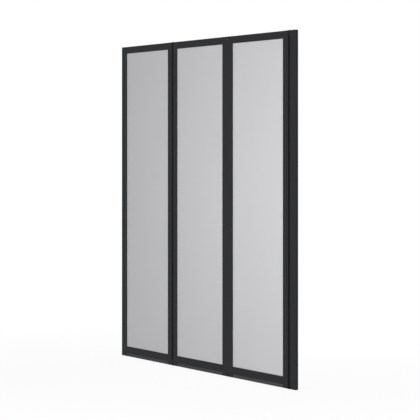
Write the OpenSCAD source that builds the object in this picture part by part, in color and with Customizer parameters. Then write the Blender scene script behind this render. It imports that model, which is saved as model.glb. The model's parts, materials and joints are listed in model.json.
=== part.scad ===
// Folding bath screen: a wall channel, a hinge post and three glazed panels
// that fold like a concertina. A cover closes each hinge gap flush with one face,
// and short pins in eyes at both ends of the gap carry the leaf.
// X runs along the screen (the wall is at x = 0, the screen reaches to -X),
// -Y is the front, +Z is up. z = 0 is the lower end of the wall channel.

/* [Screen] */
// Height of the screen over its end caps
screen_h = 1400; // [900:10:1600]
// Width of one panel, outer edge to outer edge of its frame
panel_w = 394.5; // [250:0.5:500]
// Depth of the panel frames, front face to back face
frame_t = 12; // [12:0.5:16]

/* [Frame profiles] */
// Width of the face of a stile or rail
face_w = 30; // [28:1:40]
// Wall of the hollow part of the profiles
wall_t = 1.5; // [1.2:0.1:2]
// Thickness of the two lips beside the glazing groove
lip_t = 1.5; // [1.2:0.1:1.8]
// Depth of the glazing groove
groove_d = 10; // [8:0.5:11]
// Radius on the long outer edges
edge_r = 0.8; // [0.4:0.1:1.2]
// Thickness of the plastic end caps
cap_t = 2; // [1.5:0.5:3]
// How far a cap's plug reaches into the hollow profile
plug_d = 6; // [4:0.5:8]

/* [Glazing] */
// Thickness of the pane
pane_t = 4; // [3:0.5:5]
// How far the pane's edge sits inside the groove
pane_in = 8; // [5:0.5:8]
// Thickness of the gasket between the pane and the front lip
gasket_front_t = 0.4; // [0.3:0.1:1]
// How far the back of the gasket shows past the lip
gasket_show = 2; // [1:0.5:4]

/* [Corner keys] */
// Space between a key and the plug of the stile's cap
key_cap_gap = 1.35; // [0.5:0.05:2]
// Length of the leg that stands in the stile
key_stile_len = 45; // [30:1:70]
// Length of the leg inside the rail
key_rail_len = 35; // [25:1:60]
// Distance of a rail leg's screw from the leg's outer side
key_screw_in = 4.5; // [4:0.25:6]
// Depth of the pocket in the leg in the stile
key_pocket_d = 1.5; // [0.5:0.1:2]
// Rim left round that pocket
key_pocket_rim = 3; // [2:0.5:5]
// Length of a key screw below its head
key_screw_len = 7; // [5:0.5:7.5]
// Radius of the shank of a key screw
key_screw_r = 1.7; // [1.5:0.1:2]
// Radius of the countersunk head of a key screw
key_head_r = 3.4; // [2.8:0.1:4]

/* [Hinges] */
// Distance between the frames at a fold
fold_gap = 11.6; // [10:0.2:13]
// Distance between the post and the inner panel
wall_gap = 13.8; // [12:0.2:15]
// Hinge axis in front of the face that it stands on
axis_off = 0.75; // [0.5:0.05:1.5]
// Thickness of the cover that closes a hinge gap, flush with that face
cover_t = 1.5; // [1.5:0.1:2]
// Height of one hinge eye
eye_h = 4; // [3:0.5:8]
// Wall of an eye round its pin
eye_wall = 1.5; // [1.2:0.1:2]
// Space between the two eyes on a pin
eye_gap = 1; // [1:0.1:1.5]
// Thickness of the arm that joins a swinging eye to its stile
arm_t = 1.2; // [1:0.1:1.2]
// Radius of the pins in a fold
fold_pin_r = 2; // [1.5:0.1:2.5]
// Radius of the pins at the wall
wall_pin_r = 2.5; // [2:0.1:3]
// Radial clearance between a pin and its eyes
pin_clear = 0.06; // [0.04:0.01:0.1]
// How far a pin ends inside the outer face of its end cap
pin_inset = 0.5; // [0:0.1:1]
// Thickness of the washer between two eyes
washer_t = 0.8; // [0.5:0.1:0.8]
// How far a washer stays inside the eyes' outline
washer_inset = 0.3; // [0.2:0.1:0.5]
// Radius of the soft bead that closes a hinge gap
gap_bead_r = 1.7; // [1:0.1:1.8]
// Thickness of the hinge end caps where the hinge stands on the back
hinge_cap_t = 3; // [2.5:0.5:4]
// Height of the plug that closes a fold's gap at the bath rim
low_plug_h = 25; // [10:1:40]
// Height of the plug at the top of the wall hinge
top_plug_h = 20; // [10:1:40]

/* [Bottom seal] */
// Height of the wiper seal under a bottom rail
seal_h = 14; // [8:1:20]
// Thickness of a wiper lip
seal_lip_t = 1; // [0.8:0.1:1.5]
// Thickness of the seal's bridge under the rail
seal_bridge_t = 2.3; // [1.5:0.1:3]
// How far the lips' roots lie inside the frame's faces
seal_root_in = 2.6; // [2:0.1:3]
// How far the lips' tips lie inside the frame's faces
seal_tip_in = 0.2; // [0.1:0.1:1]
// Width of the mouth of the seal's slot
slot_mouth = 3; // [2:0.2:4]
// Width of the seal's slot behind the mouth
slot_w = 6.4; // [5:0.2:7]
// Thickness of the lips that hold the seal's foot
slot_lip = 1.2; // [1:0.1:1.5]
// Depth of the slot behind those lips
slot_d = 2; // [1.5:0.1:2.5]

/* [Wall channel] */
// Width of the wall profile, wall to hinge
post_w = 37.5; // [30:0.5:60]
// Depth of the post's head outside the channel
head_d = 3; // [2.5:0.5:6]
// Distance of the post's inner end from the wall
post_back = 12; // [8:0.5:14]
// Thickness of the channel's web against the wall
web_t = 1.5; // [1.2:0.1:3]
// Thickness of the channel's flanges
flange_t = 1.2; // [1:0.1:1.6]
// Wall of the post's hollow stem
stem_wall = 1.3; // [1:0.1:1.5]
// Space between a wall cap and the wall
wall_cap_gap = 1; // [0.5:0.1:2]
// Number of wall screw holes
wall_holes = 4; // [2:1:4]
// Radius of the wall screw holes
wall_hole_r = 2.25; // [1.5:0.05:2.75]
// Distance between the wall screw holes
wall_hole_pitch = 400; // [150:10:420]
// Radius of the screws that fix the post in the channel
post_screw_r = 1.6; // [1.2:0.1:2]
// Height of the heads of those screws
post_head_h = 1.6; // [1:0.1:2]
// Length of those screws below their heads
post_screw_len = 6; // [4:0.5:8]
// Distance of the outer post screws from the ends
post_screw_inset = 150; // [60:10:300]

/* [Free edge] */
// Width of the trim on the free edge
trim_w = 13.3; // [6:0.1:20]
// Wall of the trim
trim_wall = 1.3; // [1:0.1:2]
// Radius on the trim's free edges
trim_r = 3; // [1:0.5:5]
// Width of the slit that the trim clips into
slit_w = 4.4; // [3.6:0.1:6]
// Thickness of the trim's clip legs
hook_t = 0.8; // [0.6:0.1:1]
// Length of the barb on a clip leg
hook_len = 1; // [0.6:0.1:2]
// How far a barb reaches behind the slit's edge
hook_out = 0.4; // [0.2:0.1:0.8]

/* [Hidden] */
$fn = 64;
clear = 0.15;           // between pieces of one panel that slide together
swing_clear = 0.3;      // between pieces that swing past each other
screw_clear = 0.1;      // round a screw that passes through
screw_fit = 0.05;       // round a screw in the piece that it bites
foot_clear = 0.1;       // round the bottom seal's foot in its slot
gasket_clear = 0.02;    // between the gasket and the lips
front_show = 0.4;       // how far the gasket shows past the front lip
head_step = 0.2;        // wall left below a countersunk head
overlap = 1;            // how far fused shapes are rooted in each other
cut = 1;                // how far a cutting shape passes the face it cuts
half_t = frame_t / 2;
cover_in = axis_off + cover_t;          // inner face of a cover, from the hinge axis
recess_d = frame_t - cover_t;           // depth of the gap behind a cover
ext_h = screen_h - 2 * cap_t;           // length of the cut profiles
z_low = -cap_t;                         // underside of the caps and of the seal
z_high = ext_h + cap_t;                 // top of the caps and of the top rails
box_w = face_w - groove_d;              // hollow part of a profile
rail_z = z_low + seal_h;                // underside of a bottom rail
rail_len = panel_w - 2 * face_w;
opening_low = rail_z + face_w;
opening_high = z_high - face_w;
pane_front = -half_t + lip_t + gasket_front_t;
head_cone_h = wall_t - head_step;       // height of a countersunk head
key_start = wall_t + clear;             // outer side of a key, from the edge
key_seat = box_w - wall_t - clear;      // inner side of a key, from the edge
key_depth = 2 * (half_t - wall_t - clear);
key_h = key_seat - cap_t - plug_d - key_cap_gap;    // height of the rail leg
eye_zone = 2 * (eye_h + eye_gap);        // height of an end of the gap with its eyes
wall_x = -(post_w + wall_gap / 2);      // axis of the wall hinge
satin_black = "#34373a";
rubber_black = "#232527";
seal_grey = "#4a4c4d";
nylon_black = "#2a2c2e";
bare_metal = "#9a9c9f";
frosted = [0.78, 0.8, 0.81, 0.75];

// panels are "inner" (by the wall), "middle" and "outer"; hinges are
// "wall_hinge", "inner_fold" and "outer_fold"
function panels_before(p) = p == "inner" ? 0 : p == "middle" ? 1 : 2;
function near_hinge(p) = p == "inner" ? "wall_hinge" : p == "middle" ? "inner_fold" : "outer_fold";
function far_hinge(p) = p == "inner" ? "inner_fold" : "outer_fold";
function right_x(p) = wall_x - wall_gap / 2 - panels_before(p) * (panel_w + fold_gap);
function left_x(p) = right_x(p) - panel_w;
function fold_x(j) = left_x(j == "inner_fold" ? "inner" : "middle") - fold_gap / 2;
function hinge_x(j) = j == "wall_hinge" ? wall_x : fold_x(j);
function on_front(j) = j == "inner_fold";
function half_gap(j) = (j == "wall_hinge" ? wall_gap : fold_gap) / 2;
function reach(j) = half_gap(j) - swing_clear;      // of what closes the gap
function pin_r(j) = j == "wall_hinge" ? wall_pin_r : fold_pin_r;
function eye_r(j) = pin_r(j) + eye_wall;
function end_cap_t(j) = on_front(j) ? cap_t : hinge_cap_t;
function plug_top_h(j) = j == "wall_hinge" ? top_plug_h : 0;
function plug_low_h(j) = j == "wall_hinge" ? 0 : low_plug_h;
function trim_reach(p) = p == "outer" ? trim_w : 0;

// ---- outlines -------------------------------------------------------------

// a bar of width w from x = 0, depth d about y = 0, with round corners
module bar_outline(w, d, r) {
    translate([0, r - d / 2]) square([w, d - 2 * r]);
    translate([r, -d / 2]) square([w - 2 * r, d]);
    for (x = [r, w - r], y = [r - d / 2, d / 2 - r]) translate([x, y]) circle(r);
}

// the same bar with round corners at x = 0 only
module edge_outline(w, d, r) {
    translate([0, r - d / 2]) square([w, d - 2 * r]);
    translate([r, -d / 2]) square([w - r, d]);
    for (y = [r - d / 2, d / 2 - r]) translate([r, y]) circle(r);
}

// one lip of the glazing groove, with a round nose
module lip_outline(y) {
    translate([box_w - wall_t / 2, y - lip_t / 2])
        square([groove_d + wall_t / 2 - lip_t / 2, lip_t]);
    translate([face_w - lip_t / 2, y]) circle(lip_t / 2);
}

// hollow profile of all stiles and rails: x = 0 is its outer edge
module profile_outline() {
    difference() {
        union() {
            edge_outline(box_w, frame_t, edge_r);
            lip_outline(-half_t + lip_t / 2);
            lip_outline(half_t - lip_t / 2);
        }
        translate([wall_t, wall_t - half_t]) square([box_w - 2 * wall_t, frame_t - 2 * wall_t]);
    }
}

// thicker wall in the underside of a bottom rail, and the slot in it for the seal
module slot_wall_outline() {
    translate([wall_t / 2, wall_t / 2 - half_t])
        square([slot_lip + slot_d + wall_t / 2, frame_t - wall_t]);
}
module slot_outline() {
    translate([-cut, -slot_mouth / 2]) square([slot_lip + 2 * cut, slot_mouth]);
    translate([slot_lip, -slot_w / 2]) square([slot_d, slot_w]);
}

// ---- placing --------------------------------------------------------------

// a hinge's own axes: u along +X, v away from the side that it stands on
module at_hinge(j) {
    translate([hinge_x(j), 0, 0])
        mirror([0, on_front(j) ? 0 : 1, 0])
            translate([0, -half_t - axis_off, 0]) children();
}

// a stile's own axes: x = 0 is its outer edge, +x towards the pane
module at_near_edge(p) {
    translate([right_x(p), 0, 0]) mirror([1, 0, 0]) children();
}
module at_far_edge(p) {
    translate([left_x(p), 0, 0]) children();
}

// a rail's own axes: x = 0 is its outer edge, +z along the rail
module at_top_rail(p) {
    translate([left_x(p) + face_w, 0, z_high]) rotate([0, 90, 0]) children();
}
module at_bottom_rail(p) {
    translate([right_x(p) - face_w, 0, rail_z]) rotate([0, -90, 0]) children();
}

// a screw's own axes: z = 0 at the back face, +z into the frame
module from_back(x, z) {
    translate([x, half_t, z]) rotate([90, 0, 0]) children();
}

// the four corners of a panel: each child is drawn in a corner's own axes,
// x from the stile's outer edge, z from the rail's lower or upper chamber wall
module at_corners(p) {
    low = rail_z + key_seat;
    high = z_high - key_seat;
    at_far_edge(p) translate([0, 0, low]) mirror([0, 0, 1]) children();
    at_near_edge(p) translate([0, 0, low]) mirror([0, 0, 1]) children();
    at_far_edge(p) translate([0, 0, high]) children();
    at_near_edge(p) translate([0, 0, high]) children();
}

// ---- corner keys and their screws -----------------------------------------

rail_screw_x = face_w + key_rail_len / 2;
rail_screw_z = key_h - key_screw_in;
stile_screw_x = box_w / 2;
stile_screw_z = key_h - key_stile_len * 3 / 4;

module at_key_screws() {
    for (at = [[stile_screw_x, stile_screw_z], [rail_screw_x, rail_screw_z]])
        from_back(at.x, at.y) children();
}

module key_screw() {
    cylinder(h = head_cone_h, r1 = key_head_r, r2 = key_screw_r);
    cylinder(h = head_cone_h + key_screw_len, r = key_screw_r);
}

module key_screw_hole() {
    r_shank = key_screw_r + screw_clear;
    cylinder(h = head_cone_h, r1 = key_head_r + screw_clear, r2 = r_shank);
    translate([0, 0, -cut]) cylinder(h = wall_t + 2 * cut, r = r_shank);
}

module corner_key() {
    difference() {
        union() {
            translate([key_start, -key_depth / 2, key_h - key_stile_len])
                cube([key_seat - key_start, key_depth, key_stile_len]);
            translate([key_start, -key_depth / 2, 0])
                cube([face_w + key_rail_len - key_start, key_depth, key_h]);
        }
        at_key_screws()
            cylinder(h = head_cone_h + key_screw_len + cut, r = key_screw_r + screw_fit);
        // a pocket in the front lightens the leg in the stile
        translate([
            key_start + key_pocket_rim,
            -key_depth / 2 - cut,
            key_h - key_stile_len + key_pocket_rim
        ])
            cube([
                key_seat - key_start - 2 * key_pocket_rim,
                key_pocket_d + cut,
                key_stile_len - key_h - 2 * key_pocket_rim
            ]);
    }
}

module corner_keys(p) {
    color(bare_metal) at_corners(p) corner_key();
}

module key_screws(p) {
    color(bare_metal) at_corners(p) at_key_screws() key_screw();
}

// what the keys need cut from the profiles: the passage through the stile's
// inner wall, and the screw holes in the back
module key_cuts(p) {
    at_corners(p) {
        translate([box_w - wall_t - cut / 2, wall_t - half_t, -clear])
            cube([wall_t + cut, frame_t - 2 * wall_t, key_h + 2 * clear]);
        at_key_screws() key_screw_hole();
    }
}

// ---- hinge parts, in a hinge's own axes -----------------------------------

// both ends of a hinge gap, each drawn upwards from z = 0
module at_gap_ends() {
    children();
    translate([0, 0, ext_h]) mirror([0, 0, 1]) children();
}

// bore for the pins, at both ends of one half of the hinge
module pin_bores(j) {
    at_gap_ends() translate([0, 0, -cut])
        cylinder(h = eye_zone + cut, r = pin_r(j) + pin_clear);
}

// the fixed half: the cover over the whole height, and the outer eyes
module fixed_half(j) {
    difference() {
        union() {
            translate([-reach(j), axis_off, 0])
                cube([reach(j) + half_gap(j) + overlap, cover_t, ext_h]);
            at_gap_ends() cylinder(h = eye_h, r = eye_r(j));
        }
        // room for the swinging eyes and their arms
        at_gap_ends() translate([-reach(j) - cut, 0, eye_h])
            cube([reach(j) + cut + eye_r(j) + swing_clear, cover_in + cut, eye_zone - eye_h]);
        pin_bores(j);
    }
}

// the swinging half: a square edge beside the cover, and the inner eyes
module swinging_half(j) {
    difference() {
        union() {
            translate([-half_gap(j) - overlap, axis_off, 0])
                cube([overlap, overlap, ext_h]);
            at_gap_ends() translate([0, 0, eye_h + eye_gap]) linear_extrude(eye_h) {
                circle(eye_r(j));
                translate([-half_gap(j) - overlap, axis_off])
                    square([half_gap(j) + overlap, arm_t]);
            }
        }
        pin_bores(j);
    }
}

module hinge_pin(j) {
    out = end_cap_t(j) - pin_inset;
    color(bare_metal) at_hinge(j) at_gap_ends()
        translate([0, 0, -out]) cylinder(h = out + eye_zone - eye_gap / 2, r = pin_r(j));
}

module hinge_washers(j) {
    color(nylon_black) at_hinge(j) at_gap_ends()
        translate([0, 0, eye_h + (eye_gap - washer_t) / 2])
            difference() {
                cylinder(h = washer_t, r = eye_r(j) - washer_inset);
                translate([0, 0, -cut])
                    cylinder(h = washer_t + 2 * cut, r = pin_r(j) + screw_clear);
            }
}

// soft bead behind the cover, beside the swinging stile
module hinge_seal(j) {
    low = max(plug_low_h(j), eye_zone) + clear;
    high = ext_h - max(plug_top_h(j), eye_zone) - clear;
    color(rubber_black) at_hinge(j)
        translate([-reach(j) + screw_fit, cover_in, low]) linear_extrude(high - low) {
            square([2 * gap_bead_r, gap_bead_r]);
            translate([gap_bead_r, gap_bead_r]) circle(gap_bead_r);
        }
}

// end plate over the eye and the gap, with a hole for the pin
module hinge_end_plate(j) {
    linear_extrude(end_cap_t(j)) difference() {
        union() {
            circle(eye_r(j));
            translate([-reach(j), 0])
                square([reach(j) + half_gap(j), frame_t + axis_off - edge_r]);
        }
        circle(pin_r(j) + screw_clear);
    }
}

// plug that closes the gap behind the cover, hollowed round the eyes
module gap_plug(j, h) {
    difference() {
        translate([-reach(j), cover_in, 0])
            cube([reach(j) + half_gap(j), recess_d - edge_r, h]);
        translate([0, 0, -cut]) cylinder(h = h + 2 * cut, r = eye_r(j) + swing_clear);
    }
}

module hinge_caps(j) {
    color(nylon_black) at_hinge(j) {
        translate([0, 0, -end_cap_t(j)]) hinge_end_plate(j);
        if (plug_low_h(j) > 0) gap_plug(j, plug_low_h(j));
        translate([0, 0, ext_h]) hinge_end_plate(j);
        if (plug_top_h(j) > 0)
            translate([0, 0, ext_h - plug_top_h(j)]) gap_plug(j, plug_top_h(j));
    }
}

// ---- panel frames ---------------------------------------------------------

module near_stile(p) {
    color(satin_black) difference() {
        union() {
            at_near_edge(p) linear_extrude(ext_h) profile_outline();
            at_hinge(near_hinge(p)) swinging_half(near_hinge(p));
        }
        key_cuts(p);
    }
}

module far_stile(p) {
    color(satin_black) difference() {
        union() {
            at_far_edge(p) linear_extrude(ext_h) profile_outline();
            if (p != "outer") at_hinge(far_hinge(p)) fixed_half(far_hinge(p));
        }
        key_cuts(p);
        if (p == "outer")
            at_far_edge(p) translate([-cut, -slit_w / 2, -cut])
                cube([wall_t + 2 * cut, slit_w, ext_h + 2 * cut]);
    }
}

module top_rail(p) {
    color(satin_black) difference() {
        at_top_rail(p) linear_extrude(rail_len) profile_outline();
        key_cuts(p);
    }
}

module bottom_rail(p) {
    color(satin_black) difference() {
        at_bottom_rail(p) linear_extrude(rail_len) difference() {
            union() {
                profile_outline();
                slot_wall_outline();
            }
            slot_outline();
        }
        key_cuts(p);
    }
}

// flange over a stile's end, extra wide over the trim, and a plug in its hollow
module stile_cap(extra) {
    side = key_start;
    translate([-extra, 0, 0]) linear_extrude(cap_t)
        edge_outline(face_w + extra, frame_t, extra > 0 ? trim_r : edge_r);
    translate([side, side - half_t, cap_t - overlap])
        cube([box_w - 2 * side, frame_t - 2 * side, plug_d + overlap]);
}

module bottom_caps(p) {
    color(nylon_black) translate([0, 0, z_low]) {
        at_near_edge(p) stile_cap(0);
        at_far_edge(p) stile_cap(trim_reach(p));
    }
}

module top_caps(p) {
    color(nylon_black) translate([0, 0, z_high]) mirror([0, 0, 1]) {
        at_near_edge(p) stile_cap(0);
        at_far_edge(p) stile_cap(trim_reach(p));
    }
}

// ---- glazing --------------------------------------------------------------

// a block over the opening, larger by grow on every side
module opening_block(p, grow, y0, y1) {
    translate([left_x(p) + face_w - grow, y0, opening_low - grow])
        cube([rail_len + 2 * grow, y1 - y0, opening_high - opening_low + 2 * grow]);
}

module pane(p) {
    color(frosted) opening_block(p, pane_in, pane_front, pane_front + pane_t);
}

// window behind the pane, its four sides sloping out to the back lips
module bead_window(p) {
    y0 = pane_front + pane_t;
    y1 = half_t - lip_t + cut;
    // where a side would lie at y1, outside the opening
    out = gasket_show * (y1 - y0) / (half_t - lip_t - y0) - gasket_show;
    intersection() {
        translate([0, 0, opening_low - groove_d])
            linear_extrude(opening_high - opening_low + 2 * groove_d)
                polygon([
                    [left_x(p) + face_w + gasket_show, y0],
                    [left_x(p) + face_w - out, y1],
                    [right_x(p) - face_w + out, y1],
                    [right_x(p) - face_w - gasket_show, y0]
                ]);
        translate([right_x(p), 0, 0]) rotate([0, -90, 0]) linear_extrude(panel_w)
            polygon([
                [opening_low + gasket_show, y0],
                [opening_low - out, y1],
                [opening_high + out, y1],
                [opening_high - gasket_show, y0]
            ]);
    }
}

module glazing_gasket(p) {
    face = half_t - lip_t - gasket_clear;
    color(rubber_black) difference() {
        opening_block(p, groove_d - clear, -face, face);
        opening_block(p, pane_in, pane_front, pane_front + pane_t);
        opening_block(p, -front_show, -half_t, pane_front + cut);
        bead_window(p);
    }
}

// ---- bottom seal ----------------------------------------------------------

// x is height above the seal's lower edge
module seal_outline() {
    // foot in the slot
    foot_x = seal_h + slot_lip + foot_clear;
    foot_w = slot_w - 2 * foot_clear;
    neck_w = slot_mouth - 2 * foot_clear;
    translate([foot_x, -foot_w / 2]) square([slot_d - 2 * foot_clear, foot_w]);
    translate([seal_h - overlap, -neck_w / 2])
        square([slot_lip + foot_clear + 2 * overlap, neck_w]);
    // bridge under the rail, with a sloping wiper lip to each side
    top = seal_h - foot_clear;
    under = top - seal_bridge_t;
    root = half_t - seal_root_in;
    tip = half_t - seal_tip_in;
    polygon([
        [top, root],
        [0, tip],
        [0, tip - seal_lip_t],
        [under, root - seal_lip_t],
        [under, seal_lip_t - root],
        [0, seal_lip_t - tip],
        [0, -tip],
        [top, -root]
    ]);
}

module bottom_seal(p) {
    color(seal_grey)
        translate([right_x(p) - face_w - clear, 0, z_low]) rotate([0, -90, 0])
            linear_extrude(rail_len - 2 * clear) seal_outline();
}

// ---- free edge ------------------------------------------------------------

// one barbed leg of the trim's clip, on the side y > 0
module clip_leg_outline() {
    y = slit_w / 2 - clear - hook_t;
    back = wall_t + clear;
    translate([-trim_wall / 2, y]) square([trim_wall / 2 + back + hook_len, hook_t]);
    translate([back, y]) square([hook_len, hook_t + hook_out]);
}

module free_edge_trim() {
    leg_z = 2 * key_stile_len;
    color(satin_black) at_far_edge("outer") {
        linear_extrude(ext_h) translate([-trim_w, 0]) difference() {
            edge_outline(trim_w - screw_fit, frame_t, trim_r);
            translate([trim_wall, 0])
                edge_outline(trim_w - 2 * trim_wall, frame_t - 2 * trim_wall, trim_r / 2);
        }
        translate([0, 0, leg_z]) linear_extrude(ext_h - 2 * leg_z) {
            clip_leg_outline();
            mirror([0, 1]) clip_leg_outline();
        }
    }
}

// ---- wall channel and post ------------------------------------------------

channel_d = post_w - head_d - 2 * clear;
stem_half = half_t - flange_t - clear;
stem_end = post_w - head_d;
hollow_side = stem_wall - stem_half;
hollow_w = stem_end - post_back - 2 * stem_wall;
post_screw_x = (post_back + channel_d) / 2;
post_screw_z = [post_screw_inset, ext_h / 2, ext_h - post_screw_inset];

// the fixing screws' own axes, on the back of channel and post
module at_post_screws() {
    for (z = post_screw_z)
        from_back(post_screw_x, z) children();
}

module wall_channel() {
    first_z = (ext_h - (wall_holes - 1) * wall_hole_pitch) / 2;
    color(satin_black) mirror([1, 0, 0]) difference() {
        linear_extrude(ext_h) difference() {
            translate([0, -half_t]) square([channel_d, frame_t]);
            translate([web_t, flange_t - half_t]) square([channel_d, frame_t - 2 * flange_t]);
        }
        for (i = [0:wall_holes - 1])
            translate([-cut, 0, first_z + i * wall_hole_pitch]) rotate([0, 90, 0])
                cylinder(h = web_t + 2 * cut, r = wall_hole_r);
        at_post_screws() translate([0, 0, -cut])
            cylinder(h = flange_t + 2 * cut, r = post_screw_r + screw_clear);
    }
}

module hinge_post() {
    color(satin_black) difference() {
        union() {
            mirror([1, 0, 0]) linear_extrude(ext_h) difference() {
                union() {
                    translate([stem_end, 0]) bar_outline(head_d, frame_t, edge_r);
                    translate([post_back, -stem_half])
                        square([stem_end + overlap - post_back, 2 * stem_half]);
                }
                translate([post_back + stem_wall, hollow_side])
                    square([hollow_w, -2 * hollow_side]);
            }
            at_hinge("wall_hinge") fixed_half("wall_hinge");
        }
        mirror([1, 0, 0]) at_post_screws()
            cylinder(h = flange_t + stem_wall + cut, r = post_screw_r + screw_fit);
    }
}

module post_fixing_screws() {
    color(bare_metal) mirror([1, 0, 0]) at_post_screws() {
        translate([0, 0, -post_head_h]) cylinder(h = post_head_h, r = 2 * post_screw_r);
        cylinder(h = post_screw_len, r = post_screw_r);
    }
}

// cap over the end of channel and post, with a plug in the post's hollow
module wall_cap() {
    translate([-post_w, 0, 0]) linear_extrude(cap_t)
        bar_outline(post_w - wall_cap_gap, frame_t, edge_r);
    translate([clear + stem_wall - stem_end, hollow_side + clear, cap_t - overlap])
        cube([hollow_w - 2 * clear, -2 * (hollow_side + clear), plug_d + overlap]);
}

module wall_cap_bottom() {
    color(nylon_black) translate([0, 0, z_low]) wall_cap();
}

module wall_cap_top() {
    color(nylon_black) translate([0, 0, z_high]) mirror([0, 0, 1]) wall_cap();
}

// ---- the pieces -----------------------------------------------------------

wall_channel();
hinge_post();
post_fixing_screws();
wall_cap_top();
wall_cap_bottom();
hinge_pin("wall_hinge");  // wall_hinge_pin
hinge_washers("wall_hinge");  // wall_hinge_washers
hinge_seal("wall_hinge");  // wall_hinge_seal
hinge_caps("wall_hinge");  // wall_hinge_caps

near_stile("inner");  // inner_near_stile
far_stile("inner");  // inner_far_stile
top_rail("inner");  // inner_top_rail
bottom_rail("inner");  // inner_bottom_rail
corner_keys("inner");  // inner_corner_keys
key_screws("inner");  // inner_key_screws
pane("inner");  // inner_pane
glazing_gasket("inner");  // inner_glazing_gasket
bottom_seal("inner");  // inner_bottom_seal
top_caps("inner");  // inner_top_caps
bottom_caps("inner");  // inner_bottom_caps
hinge_pin("inner_fold");  // inner_fold_pin
hinge_washers("inner_fold");  // inner_fold_washers
hinge_seal("inner_fold");  // inner_fold_seal
hinge_caps("inner_fold");  // inner_fold_caps

near_stile("middle");  // middle_near_stile
far_stile("middle");  // middle_far_stile
top_rail("middle");  // middle_top_rail
bottom_rail("middle");  // middle_bottom_rail
corner_keys("middle");  // middle_corner_keys
key_screws("middle");  // middle_key_screws
pane("middle");  // middle_pane
glazing_gasket("middle");  // middle_glazing_gasket
bottom_seal("middle");  // middle_bottom_seal
top_caps("middle");  // middle_top_caps
bottom_caps("middle");  // middle_bottom_caps
hinge_pin("outer_fold");  // outer_fold_pin
hinge_washers("outer_fold");  // outer_fold_washers
hinge_seal("outer_fold");  // outer_fold_seal
hinge_caps("outer_fold");  // outer_fold_caps

near_stile("outer");  // outer_near_stile
far_stile("outer");  // outer_far_stile
top_rail("outer");  // outer_top_rail
bottom_rail("outer");  // outer_bottom_rail
corner_keys("outer");  // outer_corner_keys
key_screws("outer");  // outer_key_screws
pane("outer");  // outer_pane
glazing_gasket("outer");  // outer_glazing_gasket
bottom_seal("outer");  // outer_bottom_seal
top_caps("outer");  // outer_top_caps
bottom_caps("outer");  // outer_bottom_caps
free_edge_trim();
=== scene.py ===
"""Looks of a folding bath screen: powder-coated frames, frosted panes, soft seals.

Everything is in metres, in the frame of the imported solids: x = 0 is the wall
plane, the screen reaches to -X, its front looks along -Y, and +Z is up.
"""

import json
from math import atan2, tau

import bmesh
import bpy
from mathutils import Matrix, Vector


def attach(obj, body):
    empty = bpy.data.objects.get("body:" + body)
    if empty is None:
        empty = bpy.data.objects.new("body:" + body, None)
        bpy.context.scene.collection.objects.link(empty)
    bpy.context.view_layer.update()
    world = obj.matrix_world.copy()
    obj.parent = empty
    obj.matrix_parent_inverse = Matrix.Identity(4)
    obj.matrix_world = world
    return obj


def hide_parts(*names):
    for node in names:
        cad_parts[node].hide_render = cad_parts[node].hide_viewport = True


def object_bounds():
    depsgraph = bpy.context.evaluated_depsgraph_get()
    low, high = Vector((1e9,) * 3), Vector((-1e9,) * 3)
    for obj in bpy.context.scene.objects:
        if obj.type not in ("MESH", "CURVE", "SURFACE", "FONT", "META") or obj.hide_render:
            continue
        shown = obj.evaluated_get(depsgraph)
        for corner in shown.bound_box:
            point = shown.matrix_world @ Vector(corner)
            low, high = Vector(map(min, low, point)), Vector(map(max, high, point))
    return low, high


MM = 0.001

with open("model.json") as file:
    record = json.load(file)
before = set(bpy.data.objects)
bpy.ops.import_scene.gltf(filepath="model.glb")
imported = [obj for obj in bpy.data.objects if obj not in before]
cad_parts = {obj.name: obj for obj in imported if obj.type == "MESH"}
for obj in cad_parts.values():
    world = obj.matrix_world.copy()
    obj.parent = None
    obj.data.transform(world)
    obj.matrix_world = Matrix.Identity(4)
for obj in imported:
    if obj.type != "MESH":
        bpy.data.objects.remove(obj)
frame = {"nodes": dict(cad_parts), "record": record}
cad_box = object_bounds()
scene = bpy.context.scene


# ---- materials --------------------------------------------------------------


def linear(hex_colour):
    """An sRGB hex colour as linear RGBA."""
    channels = [int(hex_colour[i : i + 2], 16) / 255 for i in (1, 3, 5)]
    return [
        c / 12.92 if c <= 0.04045 else ((c + 0.055) / 1.055) ** 2.4 for c in channels
    ] + [1.0]


def add(tree, kind, links=(), **settings):
    """A shader node with its settings, and links as (socket, source output).
    A setting that isn't a property of the node is the value of a socket, whose
    name has _ for each space."""
    node = tree.nodes.new(kind)
    for name, value in settings.items():
        if hasattr(node, name):
            setattr(node, name, value)
        else:
            node.inputs[name.replace("_", " ")].default_value = value
    for socket, source in links:
        tree.links.new(source, node.inputs[socket])
    return node


def new_material(name, **sockets):
    """A plain material: its tree, Principled shader and object coordinates."""
    material = bpy.data.materials.new(name)
    material.use_nodes = True
    tree = material.node_tree
    tree.nodes.clear()
    shader = add(tree, "ShaderNodeBsdfPrincipled", **sockets)
    add(
        tree,
        "ShaderNodeOutputMaterial",
        links=[("Surface", shader.outputs["BSDF"])],
    )
    where = add(tree, "ShaderNodeTexCoord").outputs["Object"]
    return material, tree, shader, where


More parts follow.
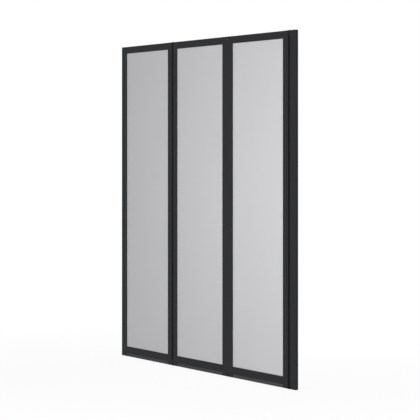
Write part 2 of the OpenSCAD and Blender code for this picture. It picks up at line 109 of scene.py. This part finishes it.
def grained_skin(name, colour, mottle, grain_mm, relief, relief_mm, **sockets):
    """An opaque skin. Its grain is grain_mm across, makes the colour lighter and
    darker by the share mottle, and stands relief_mm high, seen at the strength
    relief."""
    material, tree, shader, where = new_material(name, **sockets)
    grain = add(
        tree,
        "ShaderNodeTexNoise",
        links=[("Vector", where)],
        Scale=1 / (grain_mm * MM),
        Detail=2.0,
    )
    shade = add(
        tree,
        "ShaderNodeMapRange",
        links=[("Value", grain.outputs["Fac"])],
        To_Min=1 - mottle,
        To_Max=1 + mottle,
    )
    tint = add(
        tree,
        "ShaderNodeVectorMath",
        links=[("Scale", shade.outputs["Result"])],
        operation="SCALE",
        Vector=linear(colour)[:3],
    )
    bumps = add(
        tree,
        "ShaderNodeBump",
        links=[("Height", grain.outputs["Fac"])],
        Strength=relief,
        Distance=relief_mm * MM,
    )
    tree.links.new(tint.outputs["Vector"], shader.inputs["Base Color"])
    tree.links.new(bumps.outputs["Normal"], shader.inputs["Normal"])
    return material


def powder_coat():
    """Polyester powder coat on extruded aluminium: satin black with the faint
    orange peel of a baked powder, so highlights break up softly. The peel's
    waves are about 1.6 mm long."""
    return grained_skin(
        "powder_coated_aluminium",
        colour="#202123",
        mottle=0.06,
        grain_mm=1.6,
        relief=0.12,
        relief_mm=0.02,
        Roughness=0.45,
        Specular_IOR_Level=0.1,
    )


def etched_glass():
    """Toughened glass, acid-etched: a satin face that turns most of the light
    back and blurs what lies behind it, so a pane is an even pale grey without a
    pattern. The etching's grain is drawn 1.2 mm wide, coarser than the real
    one, so that it shows."""
    material, tree, shader, where = new_material(
        "acid_etched_toughened_glass",
        Base_Color=linear("#cfcfd1"),
        Roughness=0.62,
        IOR=1.5,
        Transmission_Weight=0.2,
    )
    etching = add(
        tree,
        "ShaderNodeTexNoise",
        links=[("Vector", where)],
        Scale=1 / (1.2 * MM),
        Detail=3.0,
    )
    bumps = add(
        tree,
        "ShaderNodeBump",
        links=[("Height", etching.outputs["Fac"])],
        Strength=0.1,
        Distance=0.02 * MM,
    )
    tree.links.new(bumps.outputs["Normal"], shader.inputs["Normal"])
    return material


def soft_extrusion(name, colour, roughness, grain_mm):
    """Soft extruded rubber or PVC: matt, with the faint cloudiness that the
    warm die leaves in its skin."""
    return grained_skin(
        name,
        colour,
        mottle=0.08,
        grain_mm=grain_mm,
        relief=0.1,
        relief_mm=0.03,
        Roughness=roughness,
        IOR=1.52,
        Specular_IOR_Level=0.15,
    )


def moulded_nylon(name):
    """Injection-moulded nylon with a fine spark-eroded grain: a dry, dull black
    beside the smoother coat of the frames. The grain is 0.5 mm wide."""
    return grained_skin(
        name,
        colour="#131416",
        mottle=0.08,
        grain_mm=0.5,
        relief=0.2,
        relief_mm=0.03,
        Roughness=0.6,
        IOR=1.53,
        Specular_IOR_Level=0.1,
    )


def bare_metal(name, colour, roughness, grain_mm):
    """Bare metal: a broken, slightly cloudy sheen, with the colour of the metal
    in its reflections."""
    material, tree, shader, where = new_material(
        name, Base_Color=linear(colour), Metallic=1.0
    )
    cloud = add(
        tree,
        "ShaderNodeTexNoise",
        links=[("Vector", where)],
        Scale=1 / (grain_mm * MM),
        Detail=3.0,
    )
    rough = add(
        tree,
        "ShaderNodeMapRange",
        links=[("Value", cloud.outputs["Fac"])],
        To_Min=roughness - 0.08,
        To_Max=roughness + 0.08,
    )
    tree.links.new(rough.outputs["Result"], shader.inputs["Roughness"])
    return material


FINISH = {
    "satin_black": powder_coat(),
    "frosted_glass": etched_glass(),
    "gasket_black": soft_extrusion("extruded_epdm_rubber", "#17181a", 0.75, 0.8),
    "seal_grey": soft_extrusion("extruded_soft_pvc", "#3d3e40", 0.6, 1.0),
    "cap_plastic": moulded_nylon("moulded_black_nylon"),
    "washer_nylon": moulded_nylon("moulded_nylon_washer"),
    "die_cast_zinc": bare_metal("die_cast_zinc", "#9c9ea0", 0.5, 0.8),
    "screw_steel": bare_metal("turned_stainless_steel", "#b9babb", 0.32, 0.3),
    "pin_steel": bare_metal("drawn_stainless_bar", "#b4b6b8", 0.3, 0.4),
}

for part in frame["record"]["subparts"]:
    solid = frame["nodes"][part["node"]]
    for place in solid.material_slots:
        place.material = FINISH[part["material_slot"]]


# ---- screws -----------------------------------------------------------------

ROUND = 24                      # sides of a screw
SAME_POINT = 0.001 * MM         # corners of a solid's triangles this near are one

KEY_SHANK = 1.7 * MM            # radius of a key screw's shank
KEY_HEAD_EDGE = 0.1 * MM        # chamfer round its countersunk head
KEY_HEAD_H = 1.3 * MM
POST_SHANK = 1.6 * MM           # radius of a post fixing screw's shank
POST_HEAD_H = 1.6 * MM
# the rounding of its pan head, as (share of the radius, depth below the top)
POST_HEAD_ROUNDING = [(0.75, 0.0), (0.92, 0.25 * MM), (1.0, 0.7 * MM)]

THREAD_PITCH = 1.2 * MM
THREAD_DEPTH = 0.3 * MM
THREAD_STEPS = 6                # rings of the shank for each pitch

# the cross recess, as shares of the head's radius, and of its width at the top
CROSS_REACH = 0.55
CROSS_HALF_WIDTH = 0.14
CROSS_DEPTH = 0.28
CROSS_TAPER = 0.6


def solids_of(node):
    """Lowest and highest corner of each separate solid in a CAD node."""
    form = bmesh.new()
    form.from_mesh(frame["nodes"][node].data)
    bmesh.ops.remove_doubles(form, verts=form.verts, dist=SAME_POINT)
    unseen = set(form.verts)
    corners = []
    for start in form.verts:
        if start not in unseen:
            continue
        unseen.remove(start)
        todo = [start]
        places = []
        while todo:
            vert = todo.pop()
            places.append(vert.co.copy())
            for edge in vert.link_edges:
                other = edge.other_vert(vert)
                if other in unseen:
                    unseen.remove(other)
                    todo.append(other)
        low = Vector([min(p[axis] for p in places) for axis in range(3)])
        high = Vector([max(p[axis] for p in places) for axis in range(3)])
        corners.append((low, high))
    form.free()
    return corners


def ring_below(form, edges, radius_ratio, drop):
    """Extrude a loop of edges down by drop and scale it; gives the new edges."""
    made = bmesh.ops.extrude_edge_only(form, edges=edges)["geom"]
    verts = [g for g in made if isinstance(g, bmesh.types.BMVert)]
    bmesh.ops.scale(form, verts=verts, vec=(radius_ratio, radius_ratio, 1.0))
    bmesh.ops.translate(form, verts=verts, vec=(0.0, 0.0, -drop))
    return [g for g in made if isinstance(g, bmesh.types.BMEdge)]


def cross_outline(form, reach, half_width):
    """The twelve edges of a cross about the origin."""
    quarter = [(reach, half_width), (half_width, half_width), (half_width, reach)]
    verts = []
    for number in range(4):
        turn = Matrix.Rotation(number * tau / 4, 3, "Z")
        verts += [form.verts.new(turn @ Vector((x, y, 0.0))) for x, y in quarter]
    return [form.edges.new((verts[i - 1], verts[i])) for i in range(len(verts))]


def screw(head, shank_radius, length):
    """A cross-recessed screw with its axis along -Y and its outer face at y = 0.
    head is a list of (radius, depth below the outer face)."""
    form = bmesh.new()
    radius, depth = head[0]
    bmesh.ops.create_circle(form, segments=ROUND, radius=radius)
    edges = form.edges[:]
    cross = cross_outline(form, CROSS_REACH * radius, CROSS_HALF_WIDTH * radius)
    bmesh.ops.bridge_loops(form, edges=edges + cross)
    floor = ring_below(form, cross, CROSS_TAPER, CROSS_DEPTH * radius)
    bmesh.ops.contextual_create(form, geom=floor)
    for next_radius, next_depth in head[1:]:
        edges = ring_below(form, edges, next_radius / radius, next_depth - depth)
        radius, depth = next_radius, next_depth
    steps = round((length - depth) / THREAD_PITCH * THREAD_STEPS)
    rings = []
    for _ in range(steps):
        edges = ring_below(form, edges, 1.0, (length - depth) / steps)
        rings.append({vert for edge in edges for vert in edge.verts})
    bmesh.ops.contextual_create(form, geom=edges)
    for number, ring in enumerate(rings[:-1]):
        for vert in ring:
            turned = (number / THREAD_STEPS - atan2(vert.co.y, vert.co.x) / tau) % 1.0
            keep = 1 - THREAD_DEPTH / shank_radius * abs(2 * turned - 1)
            vert.co.x *= keep
            vert.co.y *= keep
    bmesh.ops.recalc_face_normals(form, faces=form.faces)
    bmesh.ops.rotate(form, verts=form.verts, matrix=Matrix.Rotation(-tau / 4, 3, "X"))
    mesh = bpy.data.meshes.new("screw")
    form.to_mesh(mesh)
    form.free()
    return mesh


def put_screws(node, body, head_of, shank_radius):
    """Screws in the place of a node's plain ones, driven in from the back.
    head_of gives a head's profile from its radius."""
    places = solids_of(node)
    low, high = places[0]
    one = screw(head_of((high.x - low.x) / 2), shank_radius, high.y - low.y)
    form = bmesh.new()
    for low, high in places:
        form.from_mesh(one)
        form.verts.ensure_lookup_table()
        middle = (low + high) / 2
        bmesh.ops.translate(
            form,
            verts=form.verts[-len(one.vertices) :],
            vec=(middle.x, high.y, middle.z),
        )
    bpy.data.meshes.remove(one)
    mesh = bpy.data.meshes.new(node + "_turned")
    form.to_mesh(mesh)
    form.free()
    mesh.materials.append(FINISH["screw_steel"])
    screws = bpy.data.objects.new(node + "_turned", mesh)
    scene.collection.objects.link(screws)
    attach(screws, body)
    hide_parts(node)


def countersunk(radius):
    """A flat head whose cone runs into the shank."""
    return [
        (radius - KEY_HEAD_EDGE, 0.0),
        (radius, KEY_HEAD_EDGE),
        (KEY_SHANK, KEY_HEAD_H),
    ]


def pan(radius):
    """A low round head with a flat underside."""
    rounding = [(share * radius, depth) for share, depth in POST_HEAD_ROUNDING]
    return rounding + [(radius, POST_HEAD_H), (POST_SHANK, POST_HEAD_H)]


for panel in ("inner", "middle", "outer"):
    put_screws(panel + "_key_screws", panel + "_panel", countersunk, KEY_SHANK)
put_screws("post_fixing_screws", "wall_post", pan, POST_SHANK)


# ---- floor, light and camera ------------------------------------------------

SCREEN_MIDDLE_X = -0.6
FLOOR_HALF_SIZE = 30.0
FLOOR_GAP = 1 * MM              # between the floor and the foot of the screen
FLOOR_GREY = 0.92               # of the matt floor that takes the shadow
FLOOR_GLOW = 0.92               # share of pure white in the floor at the screen
SURROUND_LIGHT = 0.28           # strength of the surround on what it lights
# metres off the screen's middle between which the floor's glow rises to 1
GLOW_RISES_FROM = 0.8
GLOW_RISES_TO = 1.8

# name, place, point it looks at, side of its square, watts
SOFTBOXES = [
    ("camera_side_softbox", (4.8, -2.6, 1.8), (-0.5, 0.0, 0.7), 3.0, 262.0),
    ("front_softbox", (1.2, -5.2, 2.0), (-0.5, 0.0, 0.7), 3.0, 34.0),
    ("near_softbox", (0.2, -1.4, 0.8), (-0.3, 0.0, 0.75), 1.0, 4.8),
    ("back_softbox", (-1.2, 1.6, 0.8), (-0.5, 0.0, 0.4), 1.0, 9.0),
    ("side_back_softbox", (-1.6, 1.3, 0.65), (-0.4, 0.0, 0.5), 0.9, 12.0),
]

# the camera as fitted to the photograph
CAMERA_PLACE = (4.682, -3.730, 0.925)
CAMERA_LOOKS_ALONG = (-0.8161, 0.5779, 0.0)
SENSOR_WIDTH = 36.0             # mm, as is the next
FOCAL_LENGTH = 131.95
CAMERA_SHIFT = (0.0005, -0.1395)
CAMERA_SEES_TO = 100.0


def rays_that_see_white(tree):
    """1 for the rays to which floor and surround show as a white background."""
    path = add(tree, "ShaderNodeLightPath")
    seen = path.outputs["Is Camera Ray"]
    for kind in ("Is Glossy Ray", "Is Transmission Ray"):
        either = add(
            tree,
            "ShaderNodeMath",
            operation="MAXIMUM",
            links=[(0, seen), (1, path.outputs[kind])],
        )
        seen = either.outputs[0]
    return seen


def floor_finish():
    """Pale matt paint, lit up so that only its shadow is less than white, and
    fully white a little way off the screen."""
    material = bpy.data.materials.new("pale_matt_floor")
    material.use_nodes = True
    tree = material.node_tree
    tree.nodes.clear()
    matt = add(tree, "ShaderNodeBsdfDiffuse", Color=[FLOOR_GREY] * 3 + [1.0])
    glow = add(tree, "ShaderNodeEmission", Strength=1.0)
    where = add(tree, "ShaderNodeTexCoord").outputs["Object"]
    away = add(tree, "ShaderNodeVectorMath", operation="LENGTH", links=[(0, where)])
    pale = add(
        tree,
        "ShaderNodeMapRange",
        links=[("Value", away.outputs["Value"])],
        From_Min=GLOW_RISES_FROM,
        From_Max=GLOW_RISES_TO,
        To_Min=FLOOR_GLOW,
        To_Max=1.0,
    )
    share = add(
        tree,
        "ShaderNodeMath",
        operation="MULTIPLY",
        links=[(0, rays_that_see_white(tree)), (1, pale.outputs["Result"])],
    )
    mixed = add(
        tree,
        "ShaderNodeMixShader",
        links=[("Fac", share.outputs[0]), (1, matt.outputs[0]), (2, glow.outputs[0])],
    )
    add(tree, "ShaderNodeOutputMaterial", links=[("Surface", mixed.outputs[0])])
    return material


def backdrop_floor():
    """A pale floor just below the screen, white but for its shadow."""
    mesh = bpy.data.meshes.new("floor")
    form = bmesh.new()
    bmesh.ops.create_grid(form, x_segments=1, y_segments=1, size=FLOOR_HALF_SIZE)
    form.to_mesh(mesh)
    form.free()
    mesh.materials.append(floor_finish())
    floor = bpy.data.objects.new("floor", mesh)
    floor.location = (SCREEN_MIDDLE_X, 0.0, cad_box[0][2] - FLOOR_GAP)
    scene.collection.objects.link(floor)


def studio_world():
    """An even white surround, seen as white and lighting at a plain level."""
    world = bpy.data.worlds.new("white_studio")
    scene.world = world
    world.use_nodes = True
    tree = world.node_tree
    tree.nodes.clear()
    level = add(
        tree,
        "ShaderNodeMapRange",
        links=[("Value", rays_that_see_white(tree))],
        To_Min=SURROUND_LIGHT,
        To_Max=1.0,
    )
    light = add(
        tree,
        "ShaderNodeBackground",
        links=[("Strength", level.outputs["Result"])],
        Color=(1.0, 1.0, 1.0, 1.0),
    )
    add(tree, "ShaderNodeOutputWorld", links=[("Surface", light.outputs[0])])


def set_up(name, device, place, direction):
    """A lamp or camera at its place, looking along a direction."""
    holder = bpy.data.objects.new(name, device)
    holder.location = place
    holder.rotation_euler = Vector(direction).to_track_quat("-Z", "Y").to_euler()
    scene.collection.objects.link(holder)
    return holder


def soft_lamp(name, place, target, size, watts):
    """A large square softbox aimed at a point, itself out of the picture."""
    lamp = bpy.data.lights.new(name, "AREA")
    lamp.shape = "SQUARE"
    lamp.size = size
    lamp.energy = watts
    holder = set_up(name, lamp, place, Vector(target) - Vector(place))
    holder.visible_camera = False


def photo_camera():
    """The photograph's view: from the right at eye height, with a long lens.
    Its rays stay level, and the shift brings the foot of the screen in."""
    lens = bpy.data.cameras.new("photo_camera")
    lens.sensor_width = SENSOR_WIDTH
    lens.lens = FOCAL_LENGTH
    lens.shift_x, lens.shift_y = CAMERA_SHIFT
    lens.clip_end = CAMERA_SEES_TO
    scene.camera = set_up("photo_camera", lens, CAMERA_PLACE, CAMERA_LOOKS_ALONG)


backdrop_floor()
studio_world()
for softbox in SOFTBOXES:
    soft_lamp(*softbox)
photo_camera()
scene.view_settings.view_transform = "Standard"
